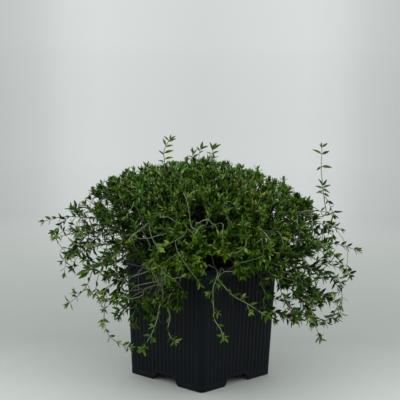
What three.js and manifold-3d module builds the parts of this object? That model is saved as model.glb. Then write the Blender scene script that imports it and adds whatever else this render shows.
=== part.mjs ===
// A creeping thyme in its square nursery pot: the moulded pot, the potting mix, and every woody
// stem as a piece of its own, standing in a socket in the mix with its side shoots and leaves.
// Millimetres, +Z up, the floor at z = 0, the pot's sides along X and Y.
import * as THREE from 'three';
import { mergeVertices } from 'three/addons/utils/BufferGeometryUtils.js';
import Module from 'manifold-3d';

const wasm = await Module();
wasm.setup();

// ---- the pot ----
const POT_HEIGHT = 125;
const POT_TOP_WIDTH = 111;        // across the flats just under the rim
const POT_BASE_WIDTH = 102;
const POT_CORNER = 5;             // radius of the upright corners
const WALL = 1.6;
const RIM_HEIGHT = 8;
const RIM_PROUD = 1.1;            // how far the rim stands out from the wall
const RIM_STEP = 2.6;             // height of the thinner lower band of the rim
const FLOOR_RAISE = 9.5;          // the floor stands above the feet, so water can leave
const FLOOR_THICK = 2;
const NOTCH_WIDTH = 36;           // the arch cut in the middle of each side, between the feet
const NOTCH_TOP_WIDTH = 24;
const NOTCH_HEIGHT = 8;
const RIBS_PER_SIDE = 17;
const RIB_PROUD = 0.35;
const RIB_LOW = 7;
const RIB_HIGH = 114;
const DRAIN_RADIUS = 2;
const DRAIN_SPACING = 27;

// ---- the potting mix ----
const MIX_LEVEL = 115;            // its surface, ten millimetres under the rim
const MIX_GAP = 0.35;
const MIX_LUMP = 0.9;
const SOCKET_DEPTH = 8;
const SOCKET_RADIUS = 1.75;

// ---- the stems ----
const STEM_ROOT_RADIUS = 1.2;
const STEM_TIP_RADIUS = 0.5;
const SHOOT_RADIUS = 0.55;
const LEAF_LENGTH = 9;
const LEAF_WIDTH = 4.6;
const LEAF_THICK = 1.2;           // how deep the fold along the midrib is
const CLEAR = 0.35;               // the least air between two pieces
const PLANT_TURN = Math.PI / 4;   // the plant's own axes run along the pot's diagonals
const ROOT_REACH = 35;            // stems leave the mix within this distance of the middle
const ROOT_SPACING = 7.4;

// Where each stem ends, in the plant's axes: x to the right and y away from the pot's front
// corner, z above the floor. The fourth value swings the stem sideways on its way, and a fifth
// keeps it low for that share of its way before it turns straight up.
const TIPS = [
  // the crown
  [118, -12, 240, 6, 0.99], [8, -20, 241, 4], [-37, 10, 240, -4], [-66, -22, 216, 6], [-103, 4, 203, 8],
  [-72, 44, 214, -6], [26, 26, 226, -6], [54, -4, 213, -8], [84, 34, 206, 6], [36, -50, 222, 10],
  [-22, -62, 222, -8], [12, 72, 214, 8], [-30, 92, 196, -8], [60, 92, 190, 8],
  // the sides, reaching out level
  [-161, 0, 157, -8], [-146, -42, 148, 12], [-135, -18, 124, -4], [-112, -62, 122, -6],
  [139, -22, 156, 6], [158, -8, 132, -6], [150, 14, 106, 8], [129, -40, 174, -8],
  [-114, 64, 150, 8], [118, 76, 152, -8], [-60, 121, 148, 6], [64, 126, 142, -6],
  [2, 161, 138, 6], [-10, -120, 168, 8], [62, -106, 160, 8], [-72, -98, 158, -8],
  // the ones that trail down outside the pot
  [-127, -40, 88, -8], [-84, -50, 48, 8], [-58, -74, 48, -6], [-32, -90, 64, 6],
  [20, -93, 62, -6], [62, -72, 80, -2], [94, -62, 70, 5], [121, -54, 54, 8],
  [138, -26, 76, -8], [-110, 48, 72, 8], [104, 60, 68, -8], [-48, 104, 66, 8], [52, 106, 62, -8],
];
const UPRIGHT_END = 95;           // how far from its tip an upright stem turns up
const TRAILING = 95;              // a stem that ends below this height trails
const FORWARD_REACH = 162;

const SEED = 4711;

function randomFrom(seed) {
  let state = seed >>> 0;
  return () => {
    state = (state + 0x6d2b79f5) >>> 0;
    let mixed = Math.imul(state ^ (state >>> 15), 1 | state);
    mixed = (mixed + Math.imul(mixed ^ (mixed >>> 7), 61 | mixed)) ^ mixed;
    return ((mixed ^ (mixed >>> 14)) >>> 0) / 4294967296;
  };
}

// ---- joining and cutting ----
function toSolid(geometry) {
  const bare = geometry.clone();
  bare.deleteAttribute('normal');
  bare.deleteAttribute('uv');
  const merged = mergeVertices(bare, 1e-4);
  return new wasm.Manifold(new wasm.Mesh({
    numProp: 3,
    vertProperties: new Float32Array(merged.attributes.position.array),
    triVerts: new Uint32Array(merged.index.array),
  }));
}

function toGeometry(solid) {
  const mesh = solid.getMesh();
  const geometry = new THREE.BufferGeometry();
  geometry.setAttribute('position', new THREE.BufferAttribute(new Float32Array(mesh.vertProperties), 3));
  geometry.setIndex(new THREE.BufferAttribute(new Uint32Array(mesh.triVerts), 1));
  return geometry;
}

function joined(solids) {
  return solids.reduce((whole, next) => whole.add(next));
}

// ---- rounded squares that widen with height ----
const potWidthAt = (z) => POT_BASE_WIDTH + (POT_TOP_WIDTH - POT_BASE_WIDTH) * (z / POT_HEIGHT);

function roundedSquare(width, corner) {
  const half = width / 2;
  const shape = new THREE.Shape();
  shape.moveTo(half, -half + corner);
  shape.lineTo(half, half - corner);
  shape.absarc(half - corner, half - corner, corner, 0, Math.PI / 2, false);
  shape.absarc(-half + corner, half - corner, corner, Math.PI / 2, Math.PI, false);
  shape.absarc(-half + corner, -half + corner, corner, Math.PI, 1.5 * Math.PI, false);
  shape.absarc(half - corner, -half + corner, corner, 1.5 * Math.PI, 2 * Math.PI, false);
  return shape;
}

// A prism from low to high whose width is given at height zero and grows with the pot's taper.
function taperedBlock(low, high, inset, corner, outline) {
  const shape = outline || roundedSquare(POT_BASE_WIDTH - 2 * inset, corner);
  const block = new THREE.ExtrudeGeometry(shape, {
    depth: high - low, steps: 1, bevelEnabled: false, curveSegments: 4,
  });
  block.translate(0, 0, low);
  const place = block.attributes.position;
  for (let i = 0; i < place.count; i++) {
    const grow = (potWidthAt(place.getZ(i)) - 2 * inset) / (POT_BASE_WIDTH - 2 * inset);
    place.setXY(i, place.getX(i) * grow, place.getY(i) * grow);
  }
  return toSolid(block);
}

// The ribbed part of the wall: one fine upright rib after another along each side.
function ribbedOutline() {
  const flat = POT_BASE_WIDTH - 2 * POT_CORNER - 4;
  const pitch = flat / RIBS_PER_SIDE;
  const points = [];
  for (let side = 0; side < 4; side++) {
    const turn = (side * Math.PI) / 2;
    const add = (along, out) => points.push(new THREE.Vector2(
      out * Math.cos(turn) - along * Math.sin(turn),
      out * Math.sin(turn) + along * Math.cos(turn),
    ));
    const low = POT_BASE_WIDTH / 2 - 0.3;
    const high = POT_BASE_WIDTH / 2 + RIB_PROUD;
    for (let rib = 0; rib < RIBS_PER_SIDE; rib++) {
      const start = -flat / 2 + rib * pitch;
      add(start + pitch * 0.12, low);
      add(start + pitch * 0.5, high);
      add(start + pitch * 0.88, low);
    }
  }
  return new THREE.Shape(points);
}

function makePot() {
  const wall = taperedBlock(0, POT_HEIGHT - 1, 0, POT_CORNER);
  const ribs = taperedBlock(RIB_LOW, RIB_HIGH, 0, POT_CORNER, ribbedOutline());
  const rimLow = taperedBlock(POT_HEIGHT - RIM_HEIGHT - RIM_STEP, POT_HEIGHT - 2, -RIM_PROUD * 0.5, POT_CORNER + 0.5);
  const rim = taperedBlock(POT_HEIGHT - RIM_HEIGHT, POT_HEIGHT, -RIM_PROUD, POT_CORNER + 1);
  const inside = taperedBlock(FLOOR_RAISE + FLOOR_THICK, POT_HEIGHT + 2, WALL, POT_CORNER - WALL);
  const under = taperedBlock(-1, FLOOR_RAISE, WALL, POT_CORNER - WALL);

  const notchShape = new THREE.Shape([
    new THREE.Vector2(-NOTCH_WIDTH / 2, -1),
    new THREE.Vector2(NOTCH_WIDTH / 2, -1),
    new THREE.Vector2(NOTCH_WIDTH / 2 - 1, 1),
    new THREE.Vector2(NOTCH_TOP_WIDTH / 2 + 2, NOTCH_HEIGHT - 1.6),
    new THREE.Vector2(NOTCH_TOP_WIDTH / 2, NOTCH_HEIGHT),
    new THREE.Vector2(-NOTCH_TOP_WIDTH / 2, NOTCH_HEIGHT),
    new THREE.Vector2(-NOTCH_TOP_WIDTH / 2 - 2, NOTCH_HEIGHT - 1.6),
    new THREE.Vector2(-NOTCH_WIDTH / 2 + 1, 1),
  ]);
  const notches = [0, Math.PI / 2].map((turn) => {
    const cut = new THREE.ExtrudeGeometry(notchShape, { depth: 140, steps: 1, bevelEnabled: false });
    cut.translate(0, 0, -70);
    cut.rotateX(Math.PI / 2);
    cut.rotateZ(turn);
    return toSolid(cut);
  });

  const drains = [];
  for (const x of [-1, 0, 1]) {
    for (const y of [-1, 0, 1]) {
      if (x === 0 && y === 0) continue;
      const hole = new THREE.CylinderGeometry(DRAIN_RADIUS, DRAIN_RADIUS, 3 * FLOOR_THICK, 8);
      hole.rotateX(Math.PI / 2);
      hole.translate(x * DRAIN_SPACING, y * DRAIN_SPACING, FLOOR_RAISE + FLOOR_THICK / 2);
      drains.push(toSolid(hole));
    }
  }

  let pot = joined([wall, ribs, rimLow, rim]);
  for (const cut of [inside, under, ...notches, ...drains]) pot = pot.subtract(cut);
  return pot;
}

// ---- the routes of the stems ----
const flatLength = (x, y) => Math.sqrt(x * x + y * y);

// Roots spread out in the mix, each on the side of the pot that its stem leans to.
function rootPlaces() {
  const roots = TIPS.map(([x, y, z], i) => {
    const far = flatLength(x, y);
    const share = (z < TRAILING ? 0.98 : 0.62) * Math.min(1, far / 120);
    const angle = Math.atan2(y, x) + 0.16 * Math.sin(i * 2.4);
    const out = 4 + (ROOT_REACH - 6) * share;
    return [out * Math.cos(angle), out * Math.sin(angle)];
  });
  for (let round = 0; round < 240; round++) {
    for (let i = 0; i < roots.length; i++) {
      for (let j = 0; j < i; j++) {
        const dx = roots[i][0] - roots[j][0];
        const dy = roots[i][1] - roots[j][1];
        const apart = flatLength(dx, dy) || 0.01;
        if (apart < ROOT_SPACING) {
          const push = (0.3 * (ROOT_SPACING - apart)) / apart;
          roots[i][0] += dx * push;
          roots[i][1] += dy * push;
          roots[j][0] -= dx * push;
          roots[j][1] -= dy * push;
        }
      }
    }
    for (const root of roots) {
      const out = flatLength(root[0], root[1]);
      if (out > ROOT_REACH) {
        root[0] *= ROOT_REACH / out;
        root[1] *= ROOT_REACH / out;
      }
    }
  }
  return roots;
}

// How far outside the pot a point lies, measured square to its nearest side (the plant's axes run
// along the pot's diagonals).
function outsidePot(point, z) {
  const square = (Math.abs(point.x) + Math.abs(point.y)) / Math.SQRT2;
  return square - potWidthAt(z) / 2;
}

class StemRoute extends THREE.Curve {
  constructor(root, tip, swing, lift) {
    super();
    const far = flatLength(tip[0], tip[1]);
    const side = [-tip[1] / far, tip[0] / far];
    const trailing = tip[2] < TRAILING;
    const rise = MIX_LEVEL + 34 + lift + 0.22 * Math.max(0, tip[2] - 150);
    const along = (share) => [
      root[0] + (tip[0] - root[0]) * share + side[0] * swing,
      root[1] + (tip[1] - root[1]) * share + side[1] * swing,
    ];
    const near = along(0.16);
    const late = along(tip[4] ?? (trailing ? 0.98 : 0.72));
    const lateZ = tip[4] ? tip[2] - UPRIGHT_END
      : trailing ? Math.max(tip[2] + 34, MIX_LEVEL + 14 + lift)
        : tip[2] + (tip[2] > 185 ? -26 : 16);
    this.foot = new THREE.Vector3(root[0], root[1], MIX_LEVEL - SOCKET_DEPTH + CLEAR);
    this.curve = new THREE.CubicBezierCurve3(
      new THREE.Vector3(root[0], root[1], MIX_LEVEL + 1.5),
      new THREE.Vector3(near[0], near[1], rise),
      new THREE.Vector3(late[0], late[1], lateZ),
      new THREE.Vector3(tip[0], tip[1], tip[2]),
    );
  }

  getPoint(t, target = new THREE.Vector3()) {
    return t <= 0 ? target.copy(this.foot) : this.curve.getPoint(t, target);
  }

  clearsPot() {
    for (let step = 1; step <= 60; step++) {
      const at = this.curve.getPoint(step / 60);
      const out = outsidePot(at, Math.min(at.z, POT_HEIGHT));
      if (out > -8 && out < RIM_PROUD + 2.4 && at.z < POT_HEIGHT + 3) return false;
      if (out <= -8 && at.z < MIX_LEVEL + 1) return false;
    }
    return true;
  }
}

// Each stem is lifted over the rim in small steps until it clears it.
function stemRoutes() {
  const roots = rootPlaces();
  return TIPS.map((tip, i) => {
    let route = new StemRoute(roots[i], tip, tip[3], 0);
    for (let lift = 5; lift <= 90 && !route.clearsPot(); lift += 5) {
      route = new StemRoute(roots[i], tip, tip[3], lift);
    }
    return route;
  });
}

// ---- stems, shoots and leaves as solids ----
// A closed tube through the given points, with a radius for each of them.
function tubeThrough(points, radii, sides) {
  const rings = points.length - 1;
  const tube = new THREE.CylinderGeometry(1, 1, 1, sides, rings);
  const place = tube.attributes.position;
  const frames = [];
  let across = new THREE.Vector3(1, 0, 0);
  points.forEach((point, i) => {
    const ahead = points[Math.min(i + 1, rings)].clone().sub(points[Math.max(i - 1, 0)]).normalize();
    across = across.clone().addScaledVector(ahead, -across.dot(ahead));
    if (across.lengthSq() < 1e-4) across.set(0, 1, 0).addScaledVector(ahead, -ahead.y);
    across.normalize();
    frames.push([across, ahead.clone().cross(across)]);
  });
  for (let i = 0; i < place.count; i++) {
    const ring = Math.round((place.getY(i) + 0.5) * rings);
    const [first, second] = frames[ring];
    const spot = points[ring].clone()
      .addScaledVector(first, place.getZ(i) * radii[ring])
      .addScaledVector(second, place.getX(i) * radii[ring]);
    place.setXYZ(i, spot.x, spot.y, spot.z);
  }
  return toSolid(tube);
}

// A pair of leaves facing each other across the shoot, as one lozenge folded a little along its
// midrib: narrow at both points and widest where it crosses the shoot.
function leafPairSolid(middle, out, face) {
  const pair = new THREE.TetrahedronGeometry(Math.sqrt(3) / Math.SQRT2, 0);
  pair.rotateZ(-Math.PI / 4);
  const up = face.clone().addScaledVector(out, -face.dot(out)).normalize();
  const side = up.clone().cross(out);
  pair.applyMatrix4(new THREE.Matrix4().makeBasis(
    out.clone().multiplyScalar(LEAF_LENGTH),
    side.multiplyScalar(LEAF_WIDTH / 2),
    up.multiplyScalar(LEAF_THICK / Math.SQRT2),
  ).setPosition(middle));
  return toSolid(pair);
}

// ---- keeping the pieces apart ----
const taken = [];                 // round bars already in place: start, end, radius, owner

function barsTooNear(start, end, radius, owner) {
  const ray = new THREE.Vector3();
  for (const bar of taken) {
    if (bar.owner === owner) continue;
    const reach = radius + bar.radius + CLEAR;
    if (Math.min(start.x, end.x) - Math.max(bar.start.x, bar.end.x) > reach) continue;
    if (Math.min(bar.start.x, bar.end.x) - Math.max(start.x, end.x) > reach) continue;
    if (Math.min(start.y, end.y) - Math.max(bar.start.y, bar.end.y) > reach) continue;
    if (Math.min(bar.start.y, bar.end.y) - Math.max(start.y, end.y) > reach) continue;
    if (Math.min(start.z, end.z) - Math.max(bar.start.z, bar.end.z) > reach) continue;
    if (Math.min(bar.start.z, bar.end.z) - Math.max(start.z, end.z) > reach) continue;
    for (let i = 0; i <= 6; i++) {
      const point = start.clone().lerp(end, i / 6);
      ray.subVectors(bar.end, bar.start);
      const t = THREE.MathUtils.clamp(point.clone().sub(bar.start).dot(ray) / ray.lengthSq(), 0, 1);
      if (point.distanceTo(bar.start.clone().addScaledVector(ray, t)) < reach) return true;
    }
  }
  return false;
}

function nearPot(point, radius) {
  const out = outsidePot(point, Math.min(point.z, POT_HEIGHT));
  return point.z < POT_HEIGHT + radius + 1.2 && out < RIM_PROUD + radius + 1.2;
}

function isFree(start, end, radius, owner) {
  if (nearPot(start, radius) || nearPot(end, radius)) return false;
  if (Math.min(start.z, end.z) < radius + 2) return false;
  if (Math.max(Math.abs(start.y), Math.abs(end.y), Math.abs(start.x), Math.abs(end.x)) > FORWARD_REACH) return false;
  return !barsTooNear(start, end, radius, owner);
}

function take(start, end, radius, owner) {
  taken.push({ start: start.clone(), end: end.clone(), radius, owner });
}

const MAIN_STEPS = 7;

function mainPoints(route) {
  const points = [route.getPoint(0)];
  for (let i = 0; i <= MAIN_STEPS; i++) points.push(route.curve.getPoint(i / MAIN_STEPS));
  return points;
}

function makeStem(route, owner, random) {
  const points = mainPoints(route);
  const radii = points.map((_, i) => THREE.MathUtils.lerp(STEM_ROOT_RADIUS, STEM_TIP_RADIUS, i / (points.length - 1)));
  const solids = [tubeThrough(points, radii, 4)];
  const up = new THREE.Vector3(0, 0, 1);

  // `turned` gives every second pair its quarter turn about the shoot.
  const addPair = (at, ahead, turned) => {
    const level = up.clone().cross(ahead);
    if (level.lengthSq() < 1e-3) level.set(1, 0, 0);
    level.normalize();
    const other = ahead.clone().cross(level);
    const out = turned ? other : level;
    const left = at.clone().addScaledVector(out, LEAF_LENGTH * 0.9);
    const right = at.clone().addScaledVector(out, -LEAF_LENGTH * 0.9);
    if (!isFree(left, right, LEAF_WIDTH / 2, owner)) return;
    solids.push(leafPairSolid(at, out, turned ? level : other));
    take(left, right, LEAF_WIDTH / 2, owner);
  };

  const tangent = (t) => route.curve.getTangent(t);
  for (const [n, t] of [0.62, 0.86].entries()) {
    addPair(route.curve.getPoint(t), tangent(t), n % 2 === 1);
  }
  addPair(route.curve.getPoint(0.985), tangent(1), false);

  [0.5, 0.74].forEach((t, n) => {
    const ahead = tangent(t);
    const level = up.clone().cross(ahead).normalize();
    const sign = (n + owner) % 2 ? 1 : -1;
    const direction = ahead.clone().multiplyScalar(0.62)
      .addScaledVector(level, sign * (0.62 + 0.2 * random()))
      .addScaledVector(up, 0.28 * (random() - 0.3)).normalize();
    const start = route.curve.getPoint(t);
    const end = start.clone().addScaledVector(direction, 20 + 14 * random());
    const clearOfMain = start.clone().addScaledVector(direction, 4);
    if (!isFree(clearOfMain, end, SHOOT_RADIUS + 0.1, owner)) return;
    const middle = start.clone().lerp(end, 0.5).addScaledVector(up, 1.2);
    solids.push(tubeThrough([start, middle, end], [SHOOT_RADIUS, SHOOT_RADIUS, SHOOT_RADIUS * 0.8], 3));
    take(start, middle, SHOOT_RADIUS, owner);
    take(middle, end, SHOOT_RADIUS, owner);
    const last = end.clone().sub(middle).normalize();
    addPair(middle, last, true);
    addPair(end.clone().addScaledVector(last, -0.8), last, false);
  });
  return joined(solids);
}

// ---- the potting mix ----
function makeMix(routes) {
  const bottom = FLOOR_RAISE + FLOOR_THICK + MIX_GAP;
  const block = new THREE.BoxGeometry(120, 120, MIX_LEVEL - bottom, 4, 4, 1);
  block.translate(0, 0, (MIX_LEVEL + bottom) / 2);
  const place = block.attributes.position;
  for (let i = 0; i < place.count; i++) {
    if (place.getZ(i) < MIX_LEVEL - 0.01) continue;
    const x = place.getX(i);
    const y = place.getY(i);
    const lump = Math.sin(x * 0.31 + y * 0.17) + Math.sin(y * 0.37 - x * 0.23 + 1.7);
    place.setZ(i, MIX_LEVEL - MIX_LUMP + MIX_LUMP * 0.5 * lump);
  }
  const inside = taperedBlock(bottom, MIX_LEVEL + 5, WALL + MIX_GAP, POT_CORNER - WALL);
  let mix = toSolid(block).intersect(inside);
  const turn = new THREE.Matrix4().makeRotationZ(PLANT_TURN);
  for (const route of routes) {
    const socket = new THREE.CylinderGeometry(SOCKET_RADIUS, SOCKET_RADIUS, SOCKET_DEPTH + 6, 5);
    socket.rotateX(Math.PI / 2);
    const foot = route.foot.clone().applyMatrix4(turn);
    socket.translate(foot.x, foot.y, MIX_LEVEL - SOCKET_DEPTH + (SOCKET_DEPTH + 6) / 2);
    mix = mix.subtract(toSolid(socket));
  }
  return mix;
}

// ---- the whole ----
const BLACK_PLASTIC = { color: 0x1b1d20, roughness: 0.45, metalness: 0 };
const DARK_MIX = { color: 0x2e231b, roughness: 0.95, metalness: 0 };
const LEAF_GREENS = [0x4f7438, 0x5b8240, 0x466a34, 0x6a8f48, 0x3f6130];

function piece(name, solid, look) {
  const mesh = new THREE.Mesh(toGeometry(solid), new THREE.MeshStandardMaterial(look));
  mesh.name = name;
  return mesh;
}

const thyme = new THREE.Group();
const routes = stemRoutes();
thyme.add(piece('pot', makePot(), BLACK_PLASTIC));
thyme.add(piece('potting_mix', makeMix(routes), DARK_MIX));

const plant = new THREE.Group();
plant.rotation.z = PLANT_TURN;
const random = randomFrom(SEED);
routes.forEach((route, owner) => {
  const points = mainPoints(route);
  for (let i = 1; i < points.length; i++) take(points[i - 1], points[i], STEM_ROOT_RADIUS, owner);
});
routes.forEach((route, owner) => {
  const look = { color: LEAF_GREENS[owner % LEAF_GREENS.length], roughness: 0.6, metalness: 0 };
  const name = `stem_${String(owner + 1).padStart(2, '0')}`;
  plant.add(piece(name, makeStem(route, owner, random), look));
});
thyme.add(plant);

export default thyme;
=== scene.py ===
"""A creeping thyme in its square black nursery pot.

The pot, the potting mix and every stem are rebuilt here with their finish: each stem runs along the
same route as its solid, and carries its twigs and leaves. Lengths are millimetres until a piece is
finished, and then metres.
"""

import math
import random

import bmesh
import bpy
import numpy as np
from mathutils import Matrix, Vector, noise


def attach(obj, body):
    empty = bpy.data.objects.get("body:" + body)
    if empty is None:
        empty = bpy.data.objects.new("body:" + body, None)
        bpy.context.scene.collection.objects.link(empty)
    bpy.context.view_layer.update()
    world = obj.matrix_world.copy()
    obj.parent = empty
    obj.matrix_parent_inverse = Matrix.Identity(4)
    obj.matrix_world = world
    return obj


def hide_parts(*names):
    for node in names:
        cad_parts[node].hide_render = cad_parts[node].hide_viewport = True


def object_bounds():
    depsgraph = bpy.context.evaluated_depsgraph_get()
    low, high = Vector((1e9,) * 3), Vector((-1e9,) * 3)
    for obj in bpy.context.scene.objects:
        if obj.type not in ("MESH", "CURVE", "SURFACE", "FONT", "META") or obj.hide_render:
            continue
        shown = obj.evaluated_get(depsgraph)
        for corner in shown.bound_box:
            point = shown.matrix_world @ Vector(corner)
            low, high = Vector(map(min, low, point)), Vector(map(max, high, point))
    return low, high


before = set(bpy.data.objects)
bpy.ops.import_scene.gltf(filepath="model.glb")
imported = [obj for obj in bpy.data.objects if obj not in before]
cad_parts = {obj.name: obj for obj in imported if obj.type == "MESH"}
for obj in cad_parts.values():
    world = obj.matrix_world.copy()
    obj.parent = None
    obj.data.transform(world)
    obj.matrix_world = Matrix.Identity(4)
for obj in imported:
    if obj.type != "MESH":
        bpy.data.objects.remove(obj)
cad_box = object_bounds()

MM = 0.001

# ---- the pot's sizes, as the solid has them ----
POT_HEIGHT = 125.0
POT_TOP_WIDTH = 111.0
POT_BASE_WIDTH = 102.0
POT_CORNER = 5.0
WALL = 1.6
RIM_HEIGHT = 8.0
RIM_PROUD = 1.1
RIM_STEP = 2.6
FLOOR_RAISE = 9.5
FLOOR_THICK = 2.0
NOTCH_WIDTH = 36.0
NOTCH_TOP_WIDTH = 24.0
NOTCH_HEIGHT = 8.0
RIBS_PER_SIDE = 17
RIB_PROUD = 0.35
RIB_LOW = 7.0
RIB_HIGH = 114.0

MIX_LEVEL = 115.0
SOCKET_DEPTH = 8.0
CLEAR = 0.35

# ---- the stems' ends, as the solids have them: right, away, up, sideways swing ----
TIPS = [
    (118, -12, 240, 6), (8, -20, 241, 4), (-37, 10, 240, -4), (-66, -22, 216, 6), (-103, 4, 203, 8),
    (-72, 44, 214, -6), (26, 26, 226, -6), (54, -4, 213, -8), (84, 34, 206, 6), (36, -50, 222, 10),
    (-22, -62, 222, -8), (12, 72, 214, 8), (-30, 92, 196, -8), (60, 92, 190, 8),
    (-161, 0, 157, -8), (-146, -42, 148, 12), (-135, -18, 124, -4), (-112, -62, 122, -6),
    (139, -22, 156, 6), (158, -8, 132, -6), (150, 14, 106, 8), (129, -40, 174, -8),
    (-114, 64, 150, 8), (118, 76, 152, -8), (-60, 121, 148, 6), (64, 126, 142, -6),
    (2, 161, 138, 6), (-10, -120, 168, 8), (62, -106, 160, 8), (-72, -98, 158, -8),
    (-127, -40, 88, -8), (-84, -50, 48, 8), (-58, -74, 48, -6), (-32, -90, 64, 6),
    (20, -93, 62, -6), (62, -72, 80, -2), (94, -62, 70, 5), (121, -54, 54, 8),
    (138, -26, 76, -8), (-110, 48, 72, 8), (104, 60, 68, -8), (-48, 104, 66, 8), (52, 106, 62, -8),
]
TRAILING = 95.0
UPRIGHT = {0: 0.99}      # a stem that stays low for that share of its way and then turns straight up
UPRIGHT_END = 95.0
ROOT_REACH = 35.0
ROOT_SPACING = 7.4
ROOT_PUSHES = 240        # how many rounds of pushing the feet apart
ROUTE_STEPS = 60         # how many points of a route are tested against the pot
PLANT_TURN = math.pi / 4
PLANT_TO_ROW = Matrix.Rotation(PLANT_TURN, 4, "Z") @ Matrix.Scale(MM, 4)
UP = Vector((0, 0, 1))


def pot_width_at(z):
    return POT_BASE_WIDTH + (POT_TOP_WIDTH - POT_BASE_WIDTH) * (z / POT_HEIGHT)


# ---- the stems' routes, the same as in the solids ----
def root_places():
    """The stems' feet: each towards its tip, and then all pushed apart."""
    roots = []
    for i, (x, y, z, _) in enumerate(TIPS):
        share = (0.98 if z < TRAILING else 0.62) * min(1, math.hypot(x, y) / 120)
        angle = math.atan2(y, x) + 0.16 * math.sin(i * 2.4)
        out = 4 + (ROOT_REACH - 6) * share
        roots.append([out * math.cos(angle), out * math.sin(angle)])
    for _ in range(ROOT_PUSHES):
        for i, root in enumerate(roots):
            for other in roots[:i]:
                gap = root[0] - other[0], root[1] - other[1]
                apart = math.sqrt(gap[0] * gap[0] + gap[1] * gap[1]) or 0.01
                if apart < ROOT_SPACING:
                    push = 0.3 * (ROOT_SPACING - apart) / apart
                    for k in (0, 1):
                        root[k] += gap[k] * push
                        other[k] -= gap[k] * push
        for root in roots:
            out = math.hypot(*root)
            if out > ROOT_REACH:
                root[:] = root[0] * (ROOT_REACH / out), root[1] * (ROOT_REACH / out)
    return roots


def outside_pot(point):
    """How far outside the pot's wall a point of the plant lies, square to the nearest side."""
    square = (abs(point[0]) + abs(point[1])) / math.sqrt(2)
    return square - pot_width_at(min(point[2], POT_HEIGHT)) / 2


def stem_route(number, root, tip, lift):
    """The four handles of a stem's curve above the mix."""
    x, y, z, swing = tip
    far = math.hypot(x, y)
    side = (-y / far, x / far)
    trailing = z < TRAILING
    if number in UPRIGHT:
        late_z = z - UPRIGHT_END
    elif trailing:
        late_z = max(z + 34, MIX_LEVEL + 14 + lift)
    else:
        late_z = z + (-26 if z > 185 else 16)

    def handle(share, height):
        return Vector([root[k] + (tip[k] - root[k]) * share + side[k] * swing for k in (0, 1)] + [height])

    return [
        Vector((*root, MIX_LEVEL + 1.5)),
        handle(0.16, MIX_LEVEL + 34 + lift + 0.22 * max(0, z - 150)),
        handle(UPRIGHT.get(number, 0.98 if trailing else 0.72), late_z),
        Vector((x, y, z)),
    ]


def on_route(handles, t):
    a, b, c, d = handles
    s = 1 - t
    return a * (s * s * s) + b * (3 * s * s * t) + c * (3 * s * t * t) + d * (t * t * t)


def clears_pot(handles):
    for step in range(1, ROUTE_STEPS + 1):
        at = on_route(handles, step / ROUTE_STEPS)
        out = outside_pot(at)
        if -8 < out < RIM_PROUD + 2.4 and at.z < POT_HEIGHT + 3:
            return False
        if out <= -8 and at.z < MIX_LEVEL + 1:
            return False
    return True


def stem_routes():
    routes = []
    for number, (root, tip) in enumerate(zip(root_places(), TIPS)):
        handles = stem_route(number, root, tip, 0)
        lift = 5
        while lift <= 90 and not clears_pot(handles):
            handles = stem_route(number, root, tip, lift)
            lift += 5
        routes.append(handles)
    return routes


# ---- materials ----
class Finish:
    """The nodes of a material or of the sky, and short ways to lay them."""

    def __init__(self, owner, coords="Object"):
        owner.use_nodes = True
        self.owner, self.nodes, self.links = owner, owner.node_tree.nodes, owner.node_tree.links
        self.place = self.lay("TexCoord").outputs[coords]

    def feed(self, node, values):
        """Links or sets the node's sockets, by name or by number."""
        for name, value in values.items():
            socket = node.inputs[name]
            if isinstance(value, bpy.types.NodeSocket):
                self.links.new(value, socket)
            elif isinstance(value, tuple):
                socket.default_value = (*value, 1.0)[:len(socket.default_value)]
            elif value is not None:
                socket.default_value = value
        return node

    def lay(self, kind, values=None, **settings):
        node = self.nodes.new("ShaderNode" + kind)
        for name, setting in settings.items():
            setattr(node, name, setting)
        return self.feed(node, values or {})

    def surface(self, colour, rough, gloss=None, normal=None):
        return self.feed(self.nodes["Principled BSDF"], {
            "Base Color": colour, "Roughness": rough, "Specular IOR Level": gloss, "Normal": normal})

    def noise(self, scale, detail=4.0, rough=0.55):
        values = {"Vector": self.place, "Scale": scale, "Detail": detail, "Roughness": rough}
        return self.lay("TexNoise", values).outputs["Fac"]

    def ramp(self, value, stops):
        """Colours along a value. A stop with a single number is a grey."""
        node = self.lay("ValToRGB", {"Fac": value})
        elements = node.color_ramp.elements
        while len(elements) < len(stops):
            elements.new(0.5)
        for element, (at, colour) in zip(elements, stops):
            element.position = at
            element.color = (*(colour if isinstance(colour, tuple) else (colour, colour, colour)), 1.0)
        return node.outputs["Color"]

    def mix(self, share, first, second, how="MIX"):
        return self.lay("Mix", {0: share, 6: first, 7: second}, data_type="RGBA", blend_type=how).outputs[2]

    def times(self, first, second):
        return self.mix(1.0, first, second, "MULTIPLY")

    def maths(self, how, first, second=None, third=None, clamp=False):
        values = {0: first, 1: second, 2: third}
        return self.lay("Math", values, operation=how, use_clamp=clamp).outputs[0]

    def bump(self, height, strength, distance):
        values = {"Height": height, "Strength": strength, "Distance": distance}
        return self.lay("Bump", values).outputs["Normal"]

    def attribute(self, name):
        return self.lay("Attribute", attribute_name=name).outputs["Fac"]

    def parts(self, vector):
        return self.lay("SeparateXYZ", {"Vector": vector}).outputs


def new_finish(name):
    return Finish(bpy.data.materials.new(name))


def black_plastic():
    """Injection-moulded polypropylene: near black, faintly blue, with a satin skin and some dust."""
    skin = new_finish("black_nursery_plastic")
    cloud = skin.noise(38, 5)
    colour = skin.ramp(cloud, [(0.30, (0.0020, 0.0034, 0.0060)), (0.72, (0.0036, 0.0056, 0.0086))])
    dust = skin.ramp(skin.noise(420, 6, 0.7), [(0.62, 0.0), (0.78, 1.0)])
    dusty = skin.mix(skin.maths("MULTIPLY", dust, 0.10), colour, (0.050, 0.048, 0.042))
    rough = skin.ramp(cloud, [(0.30, 0.42), (0.75, 0.60)])
    skin.surface(dusty, rough, 0.125, skin.bump(skin.noise(1500, 2), 0.12, 0.0002))
    return skin.owner


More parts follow.
